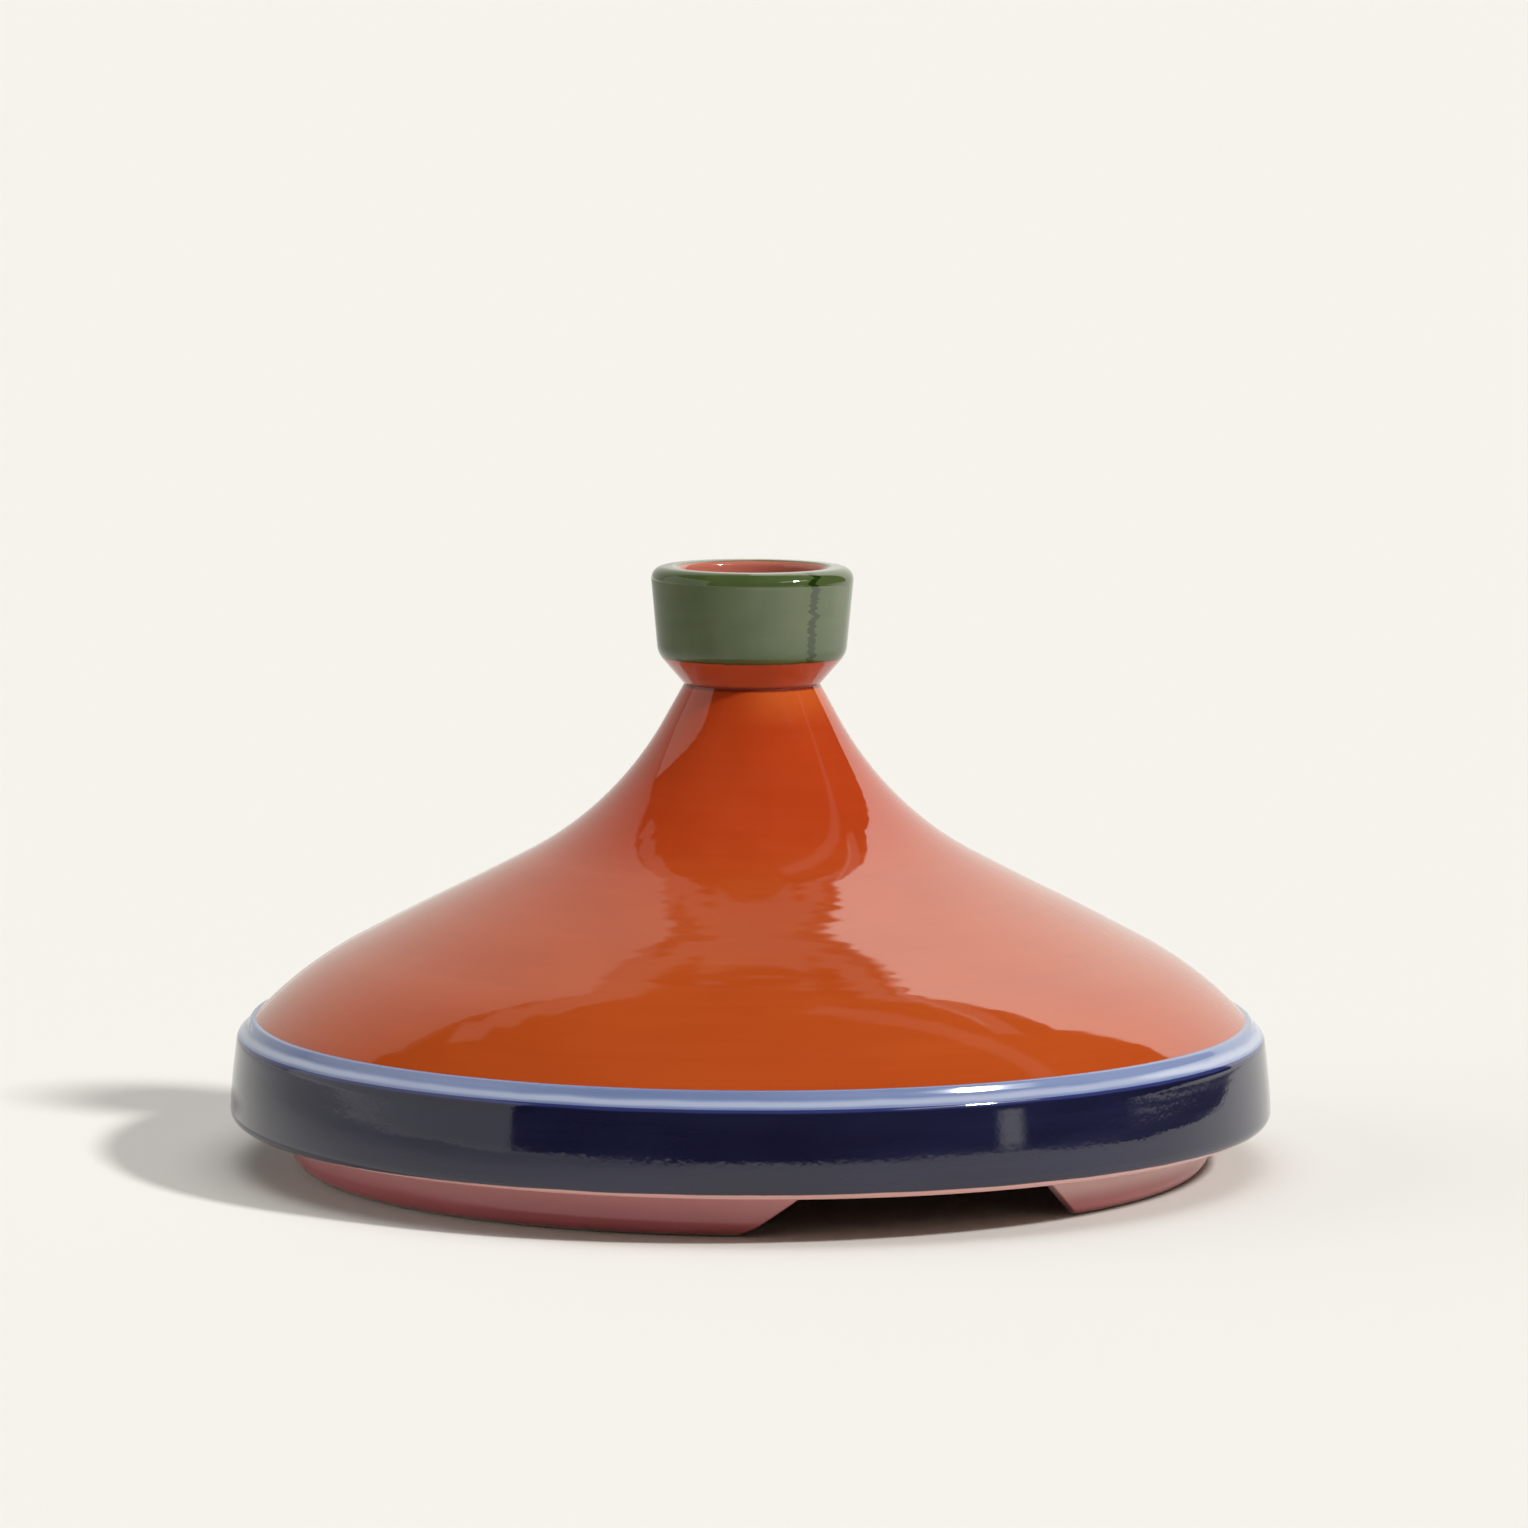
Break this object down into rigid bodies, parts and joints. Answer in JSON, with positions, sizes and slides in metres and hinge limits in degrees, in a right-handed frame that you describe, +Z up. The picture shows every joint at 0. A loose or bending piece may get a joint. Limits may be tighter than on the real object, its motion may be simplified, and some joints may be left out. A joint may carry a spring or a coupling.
{
  "type": "tagine cover",
  "caption": "Conical glazed stoneware tagine cover with a cup-shaped knob, a stepped rim and a notched flange that drops inside a pan.",
  "frame": {"origin": "middle of the flange's foot, on the surface that the cover stands on", "axes": "+Z up along the axis of the cone; the two steam notches lie on the Y axis"},
  "size_m": [0.2856, 0.2856, 0.1638],
  "materials": {
    "orange_glaze": "glossy burnt orange glaze over stoneware, faint throwing rings",
    "green_glaze": "glossy olive green glaze",
    "blue_glaze": "glossy light blue glaze",
    "navy_glaze": "glossy navy glaze",
    "pink_glaze": "satin pink glaze, bare at the foot"
  },
  "bodies": {
    "root": {"flange_arc_west": "pink_glaze", "flange_arc_east": "pink_glaze", "rim_band": "navy_glaze", "shoulder_ring": "blue_glaze", "cone_shell": "orange_glaze", "knob_collar": "orange_glaze", "knob_cup": "green_glaze", "knob_floor": "pink_glaze"}
  },
  "joints": []
}
